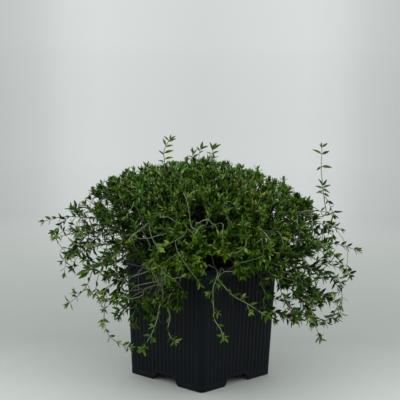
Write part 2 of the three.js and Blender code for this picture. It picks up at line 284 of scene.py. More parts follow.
def peat():
    """Moist bark and peat, dark brown, each granule a little different."""
    soil = new_finish("bark_and_peat")
    cells = soil.lay("TexVoronoi", {"Vector": soil.place, "Scale": 420}).outputs["Color"]
    cloud = soil.noise(160, 6, 0.65)
    brown = soil.ramp(soil.maths("MULTIPLY", cells, cloud), [
        (0.05, (0.010, 0.007, 0.005)), (0.30, (0.034, 0.021, 0.013)), (0.62, (0.085, 0.054, 0.033))])
    soil.surface(brown, 0.93, normal=soil.bump(cloud, 0.8, 0.0015))
    return soil.owner


def bark():
    """Wiry stems: grey-brown and flaking where old, pale olive where they still grow."""
    rind = new_finish("thyme_bark")
    streak = rind.noise(900, 4)
    old = rind.ramp(streak, [(0.30, (0.034, 0.026, 0.017)), (0.70, (0.150, 0.132, 0.096))])
    young = rind.ramp(rind.noise(55, 3), [
        (0.32, (0.160, 0.200, 0.085)), (0.58, (0.290, 0.305, 0.180)), (0.80, (0.235, 0.215, 0.135))])
    grown = rind.mix(rind.attribute("growth"), old, young)
    rind.surface(grown, 0.58, normal=rind.bump(streak, 0.4, 0.0003))
    return rind.owner


def thyme_leaf():
    """Small leathery leaves: dark green when grown, brighter and yellower at the growing tips, some bluer and
    some olive, with a paler midrib, and light that comes through them. Their youth also carries painted
    light: painted shade on the thin fringe and the inner leaves, and painted highlights on a few paler
    leaves."""
    leaf = new_finish("thyme_leaf")
    blotch = leaf.noise(520, 3)
    drift = leaf.maths("MULTIPLY_ADD", leaf.noise(42, 2), 0.44, -0.22)
    age_with_painted_light = leaf.maths("ADD", leaf.attribute("youth_with_painted_light"), drift, clamp=True)
    # the darkest, near-black greens go to the inner leaves: partly their age, partly painted shade of the
    # foliage's inside
    green = leaf.ramp(age_with_painted_light, [
        (0.00, (0.003, 0.016, 0.0003)), (0.28, (0.010, 0.045, 0.0012)), (0.52, (0.041, 0.126, 0.0038)),
        (0.78, (0.140, 0.272, 0.022)), (1.00, (0.300, 0.425, 0.110))])
    hue = leaf.maths("MULTIPLY_ADD", leaf.noise(75, 1), 1.6, -0.76)
    hue = leaf.maths("ADD", hue, leaf.attribute("hue"), clamp=True)
    cast = leaf.ramp(hue, [
        (0.10, (0.72, 0.97, 1.9)), (0.40, 1.0), (0.72, (1.26, 1.02, 0.8)), (1.0, (1.7, 0.92, 1.2))])
    shade = leaf.ramp(blotch, [(0.25, 0.72), (0.75, (1.15, 1.15, 1.1))])
    spotted = leaf.times(leaf.times(green, cast), shade)
    from_rib = leaf.maths("MULTIPLY", leaf.attribute("across"), 5.0)
    near_rib = leaf.maths("SUBTRACT", 1.0, from_rib, clamp=True)
    veined = leaf.mix(leaf.maths("MULTIPLY", near_rib, 0.3), spotted, (0.13, 0.19, 0.045))
    skin = leaf.surface(veined, 0.5, 0.05, leaf.bump(blotch, 0.35, 0.0004))
    through = leaf.lay("BsdfTranslucent", {"Color": leaf.times(veined, (1.2, 1.5, 0.5))})
    both = leaf.lay("MixShader", {"Fac": 0.15, 1: skin.outputs["BSDF"], 2: through.outputs["BSDF"]})
    leaf.feed(leaf.nodes["Material Output"], {"Surface": both.outputs["Shader"]})
    return leaf.owner


FLOOR_TINT = (0.855, 0.89, 0.86)
FAR_FLOOR_TINT = (0.885, 0.89, 0.894)
# Painted light and shade on the floor on the way past the pot, painted shade in a band just behind it and
# painted light in front of it and far off: metres behind the middle of the pot, share of the tint.
FLOOR_PAINTED_LIGHT_AND_SHADE = [(-0.5, 0.62), (-0.07, 0.593), (0.05, 0.467), (0.13, 0.373), (0.223, 0.354), (0.325, 0.359),
               (0.44, 0.379), (0.57, 0.416)]
FAR_FLOOR_PAINTED_LIGHT = [(0.75, 0.475), (1.0, 0.505), (1.3, 0.515), (1.6, 0.532), (2.2, 0.528), (3.5, 0.533),
                   (4.7, 0.54), (5.5, 0.553)]
FLOOR_BEFORE = 0.5       # the tones run from here before the pot's middle
FLOOR_RUN = 6            # over this length
# Painted falloff of light on the far floor, bright in the middle of the view and darker to both sides:
# tangent of the angle off its middle, share of the tone.
SIDE_PAINTED_FALLOFF = [(0.0, 0.955), (0.07, 1.04), (0.092, 0.99), (0.112, 0.85), (0.135, 0.77)]
SIDE_RUN = 5             # times the tangent, so that the stops above fill the ramp
EYE_LEFT = 0.033         # where the camera stands in the plant's own axes, in metres
EYE_BEFORE = 1.472
VIEW_MIDDLE = 0.0224     # the tangent of the way it looks there


def floor_with_painted_light():
    """A pale floor with painted light and shade: painted shade in a band behind the pot, painted light far
    off, and a painted falloff of light to the sides."""
    floor = new_finish("floor_with_painted_light")
    own_axes = floor.lay("Mapping", {"Vector": floor.place, "Rotation": (0, 0, -PLANT_TURN)})
    right, away, _ = floor.parts(own_axes.outputs["Vector"])
    along = floor.maths("MULTIPLY_ADD", away, 1 / FLOOR_RUN, FLOOR_BEFORE / FLOOR_RUN)
    # the tone along the floor is painted light and shade
    tone = floor.ramp(along, [
        ((at + FLOOR_BEFORE) / FLOOR_RUN, tuple(part * shade for part in tint))
        for tint, tones in ((FLOOR_TINT, FLOOR_PAINTED_LIGHT_AND_SHADE), (FAR_FLOOR_TINT, FAR_FLOOR_PAINTED_LIGHT))
        for at, shade in tones])
    # painted falloff of light to the sides, measured from where the camera stands
    bearing = floor.maths("DIVIDE", floor.maths("ADD", right, EYE_LEFT), floor.maths("ADD", away, EYE_BEFORE))
    off_middle = floor.maths("ABSOLUTE", floor.maths("SUBTRACT", bearing, VIEW_MIDDLE))
    painted_side_falloff = floor.ramp(floor.maths("MULTIPLY", off_middle, SIDE_RUN), [
        (tangent * SIDE_RUN, shade) for tangent, shade in SIDE_PAINTED_FALLOFF])
    # the painted falloff fades in between about 0.45 and 0.9 m behind the pot's middle
    far = floor.maths("MULTIPLY_ADD", away, 2.2, -1.0, clamp=True)
    floor.surface(floor.times(tone, floor.mix(far, (1, 1, 1), painted_side_falloff)), 0.8, 0.2)
    return floor.owner


# ---- small tools for pieces ----
def mesh_of(name, bm):
    mesh = bpy.data.meshes.new(name)
    bm.to_mesh(mesh)
    bm.free()
    return mesh


def put_in_scene(name, data):
    placed = bpy.data.objects.new(name, data)
    bpy.context.scene.collection.objects.link(placed)
    return placed


def finish_piece(name, bm, material, transform, slot, *nodes):
    mesh = mesh_of(name, bm)
    mesh.transform(transform)
    mesh.materials.append(material)
    piece = put_in_scene(name, mesh)
    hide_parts(*nodes)
    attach(piece, "root")


def axes_matrix(spot, *axes):
    """The matrix that stands at the spot with these three axes, each a direction and its length."""
    rows = [[*(way[k] * length for way, length in axes), spot[k]] for k in range(3)]
    return Matrix((*rows, (0, 0, 0, 1)))


def add_copy(bm, shape, transform):
    one = shape.copy()
    one.transform(transform)
    bm.from_mesh(one)
    bpy.data.meshes.remove(one)


def new_ring(bm, count, **place):
    """A ring of vertices, and its edges."""
    ring = bmesh.ops.create_circle(bm, cap_ends=False, segments=count, radius=1, **place)["verts"]
    return ring, list({edge for vert in ring for edge in vert.link_edges})


def next_ring(bm, edges):
    """The vertices and the edges extruded from a ring of edges."""
    grown = bmesh.ops.extrude_edge_only(bm, edges=edges)["geom"]
    kinds = (bmesh.types.BMVert, bmesh.types.BMEdge)
    return ([part for part in grown if isinstance(part, kind)] for kind in kinds)


def close_rings(bm, *rings):
    for edges in rings:
        bmesh.ops.edgeloop_fill(bm, edges=edges)


def turn_out(bm, crease):
    """Turns the faces outward and smooths them, but for the edges sharper than the crease."""
    bmesh.ops.recalc_face_normals(bm, faces=bm.faces)
    for face in bm.faces:
        face.smooth = True
    for edge in bm.edges:
        if len(edge.link_faces) == 2 and edge.calc_face_angle(0) > math.radians(crease):
            edge.smooth = False


# ---- the pot ----
STEPS_PER_RIB = 6
STEPS_PER_CORNER = 8
STEPS_PER_SIDE = RIBS_PER_SIDE * STEPS_PER_RIB
RIB_FADE = 1 / 14        # the share of a side over which the ribs fade towards each corner
RIB_MIDDLE = 0.55        # how much of a rib's height lies inside the plain wall
RIM_FOOT = POT_HEIGHT - RIM_HEIGHT
STEP_FOOT = RIM_FOOT - RIM_STEP
FLOOR_TOP = FLOOR_RAISE + FLOOR_THICK
# The rings from the underside of the floor up the outside and down the inside: height, outward from
# the tapered wall, share of the ribs' height, and share of the notches' height.
POT_RINGS = [
    (FLOOR_RAISE, -WALL), (0, 0.3 - WALL, 0, 1), (0, -0.35, 0, 1), (0.35, 0.12, 0, 1),
    (RIB_LOW - 1.8, 0.12, 0, 0.58), (RIB_LOW - 1.4, -0.06, 0, 0.56), (RIB_LOW - 0.4, -0.04, 0.5, 0.52),
    (RIB_LOW + 1.2, 0, 1, 0.45), *[(RIB_LOW + (RIB_HIGH - RIB_LOW) * k / 5, 0, 1) for k in range(1, 5)],
    (RIB_HIGH - 1.5, 0, 1), (STEP_FOOT - 0.35, 0, 0.5), (STEP_FOOT, 0.30), (STEP_FOOT + 0.3, 0.55),
    (RIM_FOOT - 0.25, 0.55), (RIM_FOOT, 0.85), (RIM_FOOT + 0.3, RIM_PROUD),
    (POT_HEIGHT - 3.2, RIM_PROUD), (POT_HEIGHT - 2.9, RIM_PROUD - 0.18), (POT_HEIGHT - 2.6, RIM_PROUD),
    (POT_HEIGHT - 0.7, RIM_PROUD), (POT_HEIGHT - 0.2, RIM_PROUD - 0.2), (POT_HEIGHT, RIM_PROUD - 0.7),
    (POT_HEIGHT, 0.6 - WALL), (POT_HEIGHT - 0.6, -WALL), (POT_HEIGHT - 24, -WALL),
    (FLOOR_TOP + 2, -WALL), (FLOOR_TOP, -WALL - 2),
]


def outline(half, corner, rib):
    """Points around a rounded square, as (x, y, distance along its side or None in a corner)."""
    flat = half - corner
    points = []
    for side in range(4):
        turn = side * math.pi / 2
        local = []
        for step in range(STEPS_PER_SIDE + 1):
            share = step / STEPS_PER_SIDE
            along = -flat + 2 * flat * step / STEPS_PER_SIDE
            fade = min(1.0, min(share, 1 - share) / RIB_FADE)
            wave = 0.5 - 0.5 * math.cos(2 * math.pi * step / STEPS_PER_RIB)
            local.append((half + rib * fade * (wave - RIB_MIDDLE), along, along))
        for step in range(1, STEPS_PER_CORNER):
            angle = math.pi / 2 * step / STEPS_PER_CORNER
            local.append((flat + corner * math.cos(angle), flat + corner * math.sin(angle), None))
        for out, along, where in local:
            points.append((out * math.cos(turn) - along * math.sin(turn),
                           out * math.sin(turn) + along * math.cos(turn), where))
    return points


def notch_height(where):
    if where is None:
        return 0.0
    share = (NOTCH_WIDTH / 2 - abs(where)) / (NOTCH_WIDTH / 2 - NOTCH_TOP_WIDTH / 2)
    share = min(1.0, max(0.0, share))
    return NOTCH_HEIGHT * (0.4 * share + 0.6 * share * share * (3 - 2 * share))


def build_pot(plastic):
    bm = bmesh.new()
    around = bm.verts.layers.int.new("around")
    count = len(outline(POT_BASE_WIDTH / 2, POT_CORNER, 0))
    ring, bottom = new_ring(bm, count)
    for k, vert in enumerate(ring):
        vert[around] = k

    def place(verts, z, out, rib=0, lifted=0):
        half = pot_width_at(z) / 2 + out
        points = outline(half, max(2.0, POT_CORNER + out), rib * 2 * RIB_PROUD)
        for vert in verts:
            x, y, where = points[vert[around]]
            vert.co = Vector((x, y, z + lifted * notch_height(where)))

    place(ring, *POT_RINGS[0])
    edges = bottom
    for one in POT_RINGS[1:]:
        ring, edges = next_ring(bm, edges)
        place(ring, *one)
    close_rings(bm, edges, bottom)
    turn_out(bm, 50)
    finish_piece("nursery_pot", bm, plastic, Matrix.Scale(MM, 4), "pot_plastic", "pot")


# ---- the potting mix ----
MIX_CELLS = 64
MIX_LUMPS = [(1.1, 0.09), (0.8, 0.27), (0.55, 0.7)]     # height, and how fine
CHIPS = 700
CHIP_SIZES = (0.7, 0.9, 1.1, 1.5, 2.2)


def build_mix(soil):
    rng = random.Random(77)
    bm = bmesh.new()
    bmesh.ops.create_grid(bm, x_segments=MIX_CELLS, y_segments=MIX_CELLS, size=1.0)
    rim = [edge for edge in bm.edges if edge.is_boundary]
    half = pot_width_at(MIX_LEVEL) / 2 - WALL - CLEAR
    corner = POT_CORNER - WALL
    flat = half - corner
    for vert in bm.verts:
        at_edge = max(abs(vert.co.x), abs(vert.co.y)) > 0.985
        x, y = vert.co.x * half, vert.co.y * half
        fx, fy = abs(x) - flat, abs(y) - flat
        if fx > 0 and fy > 0:
            inward = max(fx, fy) / math.hypot(fx, fy)
            x, y = math.copysign(flat + fx * inward, x), math.copysign(flat + fy * inward, y)
        spot = Vector((x, y, 0))
        lump = sum(high * noise.noise(spot * fine) for high, fine in MIX_LUMPS)
        vert.co = Vector((x, y, MIX_LEVEL - 0.9 + (0 if at_edge else lump)))
    skirt, edges = next_ring(bm, rim)
    bottom = FLOOR_TOP + CLEAR
    shrink = (pot_width_at(bottom) / 2 - WALL - CLEAR) / half
    for vert in skirt:
        vert.co = Vector((vert.co.x * shrink, vert.co.y * shrink, bottom))
    close_rings(bm, edges)
    chip = bmesh.new()
    bmesh.ops.create_icosphere(chip, subdivisions=1, radius=1)
    for vert in chip.verts:
        vert.co *= 1 + 0.35 * noise.noise(vert.co * 1.7)
    chip_shape = mesh_of("bark_chip_shape", chip)
    for _ in range(CHIPS):
        x, y = rng.uniform(-half + 3, half - 3), rng.uniform(-half + 3, half - 3)
        if abs(x) > half - 6 and abs(y) > half - 6:
            continue
        size = rng.choice(CHIP_SIZES) * rng.uniform(0.8, 1.2)
        turn = Matrix.Rotation(rng.uniform(0, 6.28), 4, "Z") @ Matrix.Rotation(rng.uniform(-0.5, 0.5), 4, "X")
        shape = Matrix.Diagonal((size * rng.uniform(1.0, 1.9), size, size * rng.uniform(0.3, 0.6), 1))
        add_copy(bm, chip_shape, Matrix.Translation((x, y, MIX_LEVEL - 0.55)) @ turn @ shape)
    bpy.data.meshes.remove(chip_shape)
    turn_out(bm, 55)
    finish_piece("potting_mix_top", bm, soil, Matrix.Scale(MM, 4), "potting_mix", "potting_mix")


# ---- leaves ----
# The leaf's outline from its stalk to its tip: share of the length, share of the width.
LEAF_RINGS = [(0.0, 0.0), (0.13, 0.42), (0.36, 1.0), (0.64, 0.82), (0.87, 0.38), (1.0, 0.0)]
LEAF_THICK = 0.02
YOUTH_LEVELS = 9


def leaf_shape(name, slim, fold, curl, youth_with_painted_light, hue):
    """One leaf a unit long, from its stalk at the origin along +Y, its upper face towards +Z."""
    bm = bmesh.new()
    bmesh.ops.create_uvsphere(bm, u_segments=4, v_segments=5, radius=1)
    layers = {key: bm.verts.layers.float.new(key) for key in ("across", "youth_with_painted_light", "hue")}
    ranked = sorted({round(vert.co.z, 3) for vert in bm.verts})
    for vert in bm.verts:
        ring = ranked.index(round(vert.co.z, 3))
        along, width = LEAF_RINGS[ring]
        side, lid = (0.0 if width == 0 or abs(part) < 1e-4 else math.copysign(1, part) for part in vert.co.xy)
        lift = fold * slim * width * abs(side) - curl * along * along
        for key, value in (("across", abs(side)), ("youth_with_painted_light", youth_with_painted_light), ("hue", hue)):
            vert[layers[key]] = value
        vert.co = Vector((side * width * slim, along * (1 - 0.12 * abs(curl)), lift + lid * LEAF_THICK))
    bmesh.ops.recalc_face_normals(bm, faces=bm.faces)
    for face in bm.faces:
        face.smooth = True
    for edge in bm.edges:
        if all(vert[layers["across"]] > 0.5 for vert in edge.verts):
            edge.smooth = False
    return mesh_of(name, bm)


def leaf_shapes():
    """Every leaf form at every age, in three casts of green."""
    # how wide for its length, how far folded along the midrib, and how far curled down
    forms = [(0.165, 0.30, 0.10), (0.145, 0.42, 0.22), (0.185, 0.18, -0.08), (0.15, 0.52, 0.30)]
    return [[leaf_shape(f"leaf_shape_{f}_{hue}_{k}", *form, k / (YOUTH_LEVELS - 1), hue)
             for k in range(YOUTH_LEVELS)]
            for f, form in enumerate(forms) for hue in (0.3, 0.45, 0.6)]


def add_leaf(bm, rng, base, direction, top, length, youth_with_painted_light):
    ahead = direction.normalized()
    side = ahead.cross(top)
    if side.length < 1e-3:
        side = ahead.cross(Vector((1, 0, 0)))
    side.normalize()
    up = side.cross(ahead)
    step = min(YOUTH_LEVELS - 1, max(0, round(youth_with_painted_light * (YOUTH_LEVELS - 1))))
    shape = rng.choice(LEAF_FORMS)[step]
    wide = length * rng.uniform(0.9, 1.15)
    add_copy(bm, shape, axes_matrix(base, (side, wide), (ahead, length), (up, length)))


# ---- twigs ----
def spoke(ahead, angle):
    """The way out of a twig at an angle round it, from its level side."""
    level = UP.cross(ahead)
    if level.length < 0.05:
        level = Vector((1, 0, 0)).cross(ahead)
    level.normalize()
    return level * math.cos(angle) + ahead.cross(level) * math.sin(angle)


def bezier_path(a, b, c, d, step):
    count = max(3, round((d - a).length * 1.06 / step))
    return [on_route((a, b, c, d), k / count) for k in range(count + 1)]


# ---- the foliage's outline ----
FIRST_WAY = -150         # the direction that the two tables start from
FACING_SPAN = 0.3        # how far along a line, both ways, the way it faces is measured
# The outer leaves in twelve directions seen from above, in degrees from the right round by the back. Each
# line runs from the top of the dome over its edge to the lowest leaves, as distance out and height.
OUTLINE = [(angle, [(0, 224), *places]) for angle, *places in [
    (-150, (43, 216), (86, 201), (112, 181), (132, 158), (143, 134), (120, 98), (92, 56)),
    (-122, (42, 215), (78, 199), (103, 176), (115, 150), (112, 122), (102, 96), (90, 76)),
    (-104, (42, 215), (77, 198), (100, 175), (111, 150), (109, 126), (104, 104), (95, 86)),
    (-97, (42, 214), (76, 198), (99, 174), (110, 150), (107, 134), (101, 128), (95, 122)),
    (-88, (42, 214), (76, 198), (99, 174), (109, 150), (107, 137), (101, 131), (95, 126)),
    (-58, (44, 213), (78, 196), (101, 172), (113, 149), (109, 134), (101, 125), (95, 119)),
    (-34, (46, 212), (84, 194), (110, 171), (130, 146), (134, 120), (122, 88), (104, 50)),
    (0, (48, 211), (86, 196), (117, 175), (139, 150), (151, 124), (142, 88), (118, 50)),
    (45, (46, 213), (84, 198), (112, 178), (132, 150), (142, 124), (132, 98), (116, 78)),
    (90, (45, 215), (85, 201), (112, 180), (131, 152), (138, 128), (128, 100), (110, 78)),
    (135, (45, 216), (86, 202), (116, 181), (138, 156), (144, 130), (132, 102), (116, 80)),
    (180, (43, 217), (90, 204), (116, 186), (140, 169), (156, 149), (130, 112), (88, 56)),
]]
# How thickly the leaves stand at the same places along each line, from the top to the lowest leaves.
THICKNESS = [(angle, (1, 1, 1, *shares)) for angle, *shares in [
    (-150, 0.75, 0.32, 0.17, 0.2, 0.55),
    (-122, 1, 1, 0.9, 0.65, 0.4),
    (-104, 1, 1, 1, 0.65, 0.35),
    (-97, 1, 1, 0.9, 0.6, 0.2),
    (-88, 1, 1, 0.9, 0.5, 0.2),
    (-58, 1, 1, 0.8, 0.3, 0.1),
    (-34, 1, 0.7, 0.55, 0.6, 0.55),
    (0, 0.65, 0.27, 0.2, 0.4, 0.6),
    (45, 0.9, 0.6, 0.5, 0.5, 0.4),
    (90, 0.95, 0.7, 0.6, 0.6, 0.4),
    (135, 0.75, 0.45, 0.35, 0.4, 0.4),
    (180, 0.52, 0.18, 0.09, 0.12, 0.6),
]]
LOWEST = 7


def along_line(line, share):
    k = min(LOWEST - 1, int(share))
    return line[k] * (1 - (share - k)) + line[k + 1] * (share - k)


def blended(lines, angle, read):
    """What is read off the two lines on either side of a direction, the nearer one counting for more."""
    angle = (angle - FIRST_WAY) % 360 + FIRST_WAY
    again = [(FIRST_WAY + 360, lines[0][1])]
    for (start, line), (stop, following) in zip(lines, lines[1:] + again):
        if start <= angle <= stop:
            share = (angle - start) / (stop - start)
            share = share * share * (3 - 2 * share)
            return (1 - share) * read(line) + share * read(following)


def outline_at(angle, share):
    """Distance out and height on the foliage's outline, from share 0 at the top to LOWEST."""
    return [blended(OUTLINE, angle, lambda line: along_line([place[axis] for place in line], share))
            for axis in (0, 1)]


def thickness_at(angle, share):
    return blended(THICKNESS, angle, lambda line: along_line(line, share))


def outline_place(angle, share):
    """A point on the outline, and the way that the outline faces there."""
    turn = math.radians(angle)
    out, up = outline_at(angle, share)
    before = outline_at(angle, max(0.0, share - FACING_SPAN))
    after = outline_at(angle, min(LOWEST, share + FACING_SPAN))
    run, rise = after[0] - before[0], after[1] - before[1]
    size = math.hypot(run, rise) or 1.0
    facing = Vector((math.cos(turn) * -rise / size, math.sin(turn) * -rise / size, run / size))
    return Vector((math.cos(turn) * out, math.sin(turn) * out, up)), facing


def heading(point):
    return math.degrees(math.atan2(point.y, point.x))


def dome_height(point):
    """The height of the dome's top above a point of the plan."""
    out = math.hypot(point.x, point.y)

    def height_on(line):
        height = line[4][1] - 12 if out > line[4][0] else 0
        for (r0, z0), (r1, z1) in zip(line[:4], line[1:5]):
            if r0 <= out <= r1:
                height = z0 + (z1 - z0) * (out - r0) / (r1 - r0)
        return height

    return blended(OUTLINE, heading(point), height_on)


# Small hollows in the front of the foliage, where the dark inside shows: right, away, up, how wide.
HOLLOWS = [(-55, -88, 156, 12), (-34, -96, 150, 9), (-64, -86, 127, 11), (-8, -95, 183, 7),
           (3, -97, 172, 7), (15, -98, 174, 8), (10, -102, 138, 11), (-22, -96, 121, 9), (-64, -84, 108, 8),
           (-46, -90, 110, 8), (25, -98, 138, 7)]
HOLLOW_DEPTH = 30.0
SIGHT_SLOPE = 0.19       # how much the viewer's sight sinks on its way in


def in_hollow(point, size=1.0):
    """Inside one of the hollows, each of which runs inward along the viewer's sight."""
    for x, y, z, wide in HOLLOWS:
        deeper = point.y - y
        aside = math.hypot(point.x - x, point.z - z + SIGHT_SLOPE * deeper)
        if deeper < HOLLOW_DEPTH and aside < wide * size:
            return True
    return False


# Loose places in the fringe, each 22 mm wide and high: right, up, share of the shoots that stand there.
LOOSE = [(-134, 159, 0.05), (-114, 180, 0.7), (-114, 138, 0.8), (-114, 117, 0.15), (-114, 97, 0.0),
         (-94, 117, 0.65), (-94, 76, 0.45), (-94, 55, 0.8), (109, 159, 0.6), (109, 55, 0.7), (129, 159, 0.15),
         (129, 138, 0.7), (129, 117, 0.6), (129, 97, 0.1), (149, 138, 0.1), (149, 117, 0.4), (88, 97, 0.2),
         (88, 55, 0.0), (88, 36, 0.0), (108, 36, 0.2)]


def share_kept(point):
    return min([1.0] + [part for x, z, part in LOOSE if abs(point.x - x) < 11 and abs(point.z - z) < 11])


def clumping(point):
    """How far a place of the foliage stands in from the outline, in millimetres, in soft clumps."""
    return 3.2 * (1 + noise.noise(point * 0.052)) * (1 + 0.7 * noise.noise(point * 0.12 + Vector((5, 9, 2))))


# The shoots stand in four layers: how many in each, how far in from the outline, from and to, the space
# between its pairs of leaves, and how young they are. The inner layers' low youth gives near-black greens,
# partly older leaves and partly painted shade of the foliage's inside.
SHOOT_LAYERS = [(1560, -1.5, 4.5, 4.0, 0.34), (900, 13, 28, 4.4, 0.14), (620, 34, 58, 5.0, 0.0),
                (340, 62, 90, 6.0, 0.0)]
LOW = 4.5                # the share of the outline where its lower part begins
GOLDEN_TURN = 137.508    # degrees from one shoot to the next
BANDS = 70               # how many bands of the outline are measured to spread the shoots evenly


def inner_thickness(thick, share, layer):
    """How thickly the shoots stand inside the outer layer: the inmost layers have none low down."""
    if share < LOW:
        return thick * thick
    if layer > 1:
        return 0.0
    return 0.6 * thick if share > 5.6 else 0.8 * thick * thick


def shoot_ends():
    """Where the young shoots end: evenly over the outline, and in further layers inside it."""
    sums = [0.0]
    for k in range(BANDS):
        area = 0.0
        for angle in range(FIRST_WAY, FIRST_WAY + 360, 30):
            (r0, z0), (r1, z1) = (outline_at(angle, LOWEST * at / BANDS) for at in (k, k + 1))
            area += (r0 + r1) / 2 * math.hypot(r1 - r0, z1 - z0)
        sums.append(sums[-1] + area)
    ends = []
    for layer, (number, low, high, *_) in enumerate(SHOOT_LAYERS):
        for i in range(number):
            seed = 10000 * layer + i
            rng = random.Random(seed)
            wanted = sums[-1] * (i + 0.5) / number
            k = next(j for j in range(BANDS) if sums[j + 1] >= wanted)
            share = LOWEST * (k + (wanted - sums[k]) / (sums[k + 1] - sums[k])) / BANDS
            angle = (i * GOLDEN_TURN + layer * 71 + rng.uniform(-3, 3) + 180) % 360 - 180
            thick = thickness_at(angle, share)
            if layer:
                thick = inner_thickness(thick, share, layer)
            if rng.random() > thick or (layer == 3 and share > 4.2):
                continue
            point, facing = outline_place(angle, share)
            jitter = Vector((rng.uniform(-4, 4), rng.uniform(-4, 4), rng.uniform(-3, 3)))
            point = point - facing * (rng.uniform(low, high) + clumping(point)) + jitter
            if rng.random() <= share_kept(point) and not in_hollow(point) and in_room(point, 1.0):
                ends.append((point, facing, share, layer, seed))
    ends.sort(key=lambda end: (end[0] - Vector((0, 0, 100))).length)
    return ends


PAST_BOX = 9.0           # how far leaves may reach past the solids' box
LOWEST_LEAF = 6.0
OUTER_LOW = Vector([v / MM for v in cad_box[0]]) - Vector((PAST_BOX, PAST_BOX, 0))
OUTER_HIGH = Vector([v / MM for v in cad_box[1]]) + Vector((PAST_BOX, PAST_BOX, PAST_BOX))
WALL_ZONE = 6.0          # how far in from the pot's outside its wall and rim are kept clear
TURN_ROW = Matrix.Rotation(PLANT_TURN, 3, "Z")


def in_room(point, margin=0.0):
    """Inside the object's box and clear of the pot."""
    row = TURN_ROW @ point
    if not all(OUTER_LOW[k] + margin < row[k] < OUTER_HIGH[k] - margin for k in range(3)):
        return False
    out = outside_pot(point)
    if point.z < POT_HEIGHT + 1.5 and -WALL_ZONE < out < RIM_PROUD + 1.2:
        return False
    return not (out <= -WALL_ZONE and point.z < MIX_LEVEL + 2) and point.z > LOWEST_LEAF


# The outer ends of seventeen stems, by the numbers of their nodes: right, away, up.
HANGING = {
    2: [(8, -9, 192), (8, -3, 214), (8, -2, 222), (9, -2, 232)],
    3: [(-37, -2, 196), (-39, -12, 216), (-39, -12, 223), (-40, -12, 230), (-38, -12, 237), (-34, -12, 244)],
    4: [(-62, -20, 192), (-66, -22, 205)],
    5: [(-96, 4, 186), (-102, 4, 196)],
    6: [(-66, 40, 190), (-70, 43, 204)],
    7: [(24, 22, 196), (26, 26, 214)],
    9: [(81, 32, 186), (84, 34, 197)],
    1: [(121, -14, 168), (122, -12, 184), (120, -12, 196), (119, -12, 206), (118, -12, 216), (118, -12, 238)],
    31: [(-110, -40, 114), (-113, -41, 104), (-119, -42, 95), (-127, -42, 87), (-133, -42, 82)],
    32: [(-95, -52, 101), (-96, -53, 86), (-97, -53, 71), (-95, -53, 58), (-88, -53, 49), (-79, -54, 44),
         (-71, -56, 42)],
    33: [(-39, -86, 105), (-42, -87, 92), (-45, -86, 76), (-50, -84, 62), (-55, -80, 53), (-58, -77, 46)],
    34: [(-34, -88, 98), (-32, -88, 80), (-34, -87, 70), (-31, -86, 60), (-27, -85, 57)],
    35: [(13, -96, 126), (9, -98, 114), (9, -98, 100), (10, -98, 89), (10, -98, 82), (16, -97, 73),
         (20, -95, 63)],
    36: [(14, -96, 124), (19, -94, 114), (28, -92, 104), (42, -87, 95), (53, -82, 87), (62, -76, 80)],
    37: [(75, -66, 106), (81, -66, 94), (88, -64, 83), (93, -62, 75)],
    38: [(99, -54, 106), (105, -54, 91), (110, -54, 73), (114, -54, 61), (117, -54, 52)],
    39: [(133, -28, 111), (140, -28, 96), (141, -28, 82), (139, -28, 70)],
}


def through_points(points, step):
    """A smooth line through the points."""
    line = []
    last = len(points) - 1
    for k in range(last):
        a, b = points[max(k - 1, 0)], points[k]
        c, d = points[k + 1], points[min(k + 2, last)]
        pieces = max(1, round((c - b).length / step))
        for j in range(pieces):
            t = j / pieces
            line.append(0.5 * ((2 * b) + (c - a) * t + (2 * a - 5 * b + 4 * c - d) * t * t
                               + (3 * b - a - 3 * c + d) * t * t * t))
    line.append(points[last])
    return line


MAIN_STEPS = 30
MAIN_WANDER = 2.4        # how far a stem strays from its smooth route
BARE_POINTS = 12         # how many points of a standing stem, from its foot, carry no leaves


class Stem:
    """One stem as it grows: its twigs and its leaves, and its points that shoots can start from."""

    def __init__(self, number, handles):
        self.number = number
        self.rng = random.Random(1000 + 37 * number)
        self.twigs = bmesh.new()
        self.growth = self.twigs.verts.layers.float.new("growth")
        self.leaves = bmesh.new()
        self.trailing = handles[3].z < TRAILING
        self.main = self.main_line(handles)

    def main_line(self, handles):
        rng = self.rng
        foot = Vector((handles[0].x, handles[0].y, MIX_LEVEL - SOCKET_DEPTH + CLEAR))
        drift = Vector((rng.uniform(0, 50), rng.uniform(0, 50), rng.uniform(0, 50)))
        line = [foot]
        for k in range(MAIN_STEPS + 1):
            t = k / MAIN_STEPS
            wander = Vector([noise.noise(drift + Vector((9 * axis, t * 5, 0))) for axis in range(3)])
            line.append(on_route(handles, t) + wander * (math.sin(math.pi * t) * MAIN_WANDER))
        seen = HANGING.get(self.number + 1)
        if seen:
            ends = [Vector(point) for point in seen]
            near = min(range(8, len(line)), key=lambda k: (line[k] - ends[0]).length)
            line = line[:max(8, near - 3)]
            line += through_points([line[-1]] + ends, 4.5)[1:]
        return line

    def twig(self, points, thick, thin, start_growth, end_growth, sides=5):
        """A tapering tube through the points, extruded ring by ring and closed at both ends."""
        across, last, places = Vector((1, 0, 0)), len(points) - 1, []
        for k, point in enumerate(points):
            ahead = (points[min(k + 1, last)] - points[max(k - 1, 0)]).normalized()
            across = across - ahead * across.dot(ahead)
            if across.length < 0.05:
                across = Vector((0, 1, 0)) - ahead * ahead.y
            across.normalize()
            radius = thick + (thin - thick) * (k / last) ** 0.7
            ways = (across, ahead.cross(across), ahead)
            places.append(axes_matrix(point, *((way, radius) for way in ways)))
        ring, foot = new_ring(self.twigs, sides, matrix=places[0])
        edges = foot
        for k in range(last + 1):
            if k > 0:
                ring, edges = next_ring(self.twigs, edges)
                bmesh.ops.transform(self.twigs, matrix=places[k] @ places[k - 1].inverted(), verts=ring)
            for vert in ring:
                vert[self.growth] = start_growth + (end_growth - start_growth) * k / last
        close_rings(self.twigs, foot, edges)


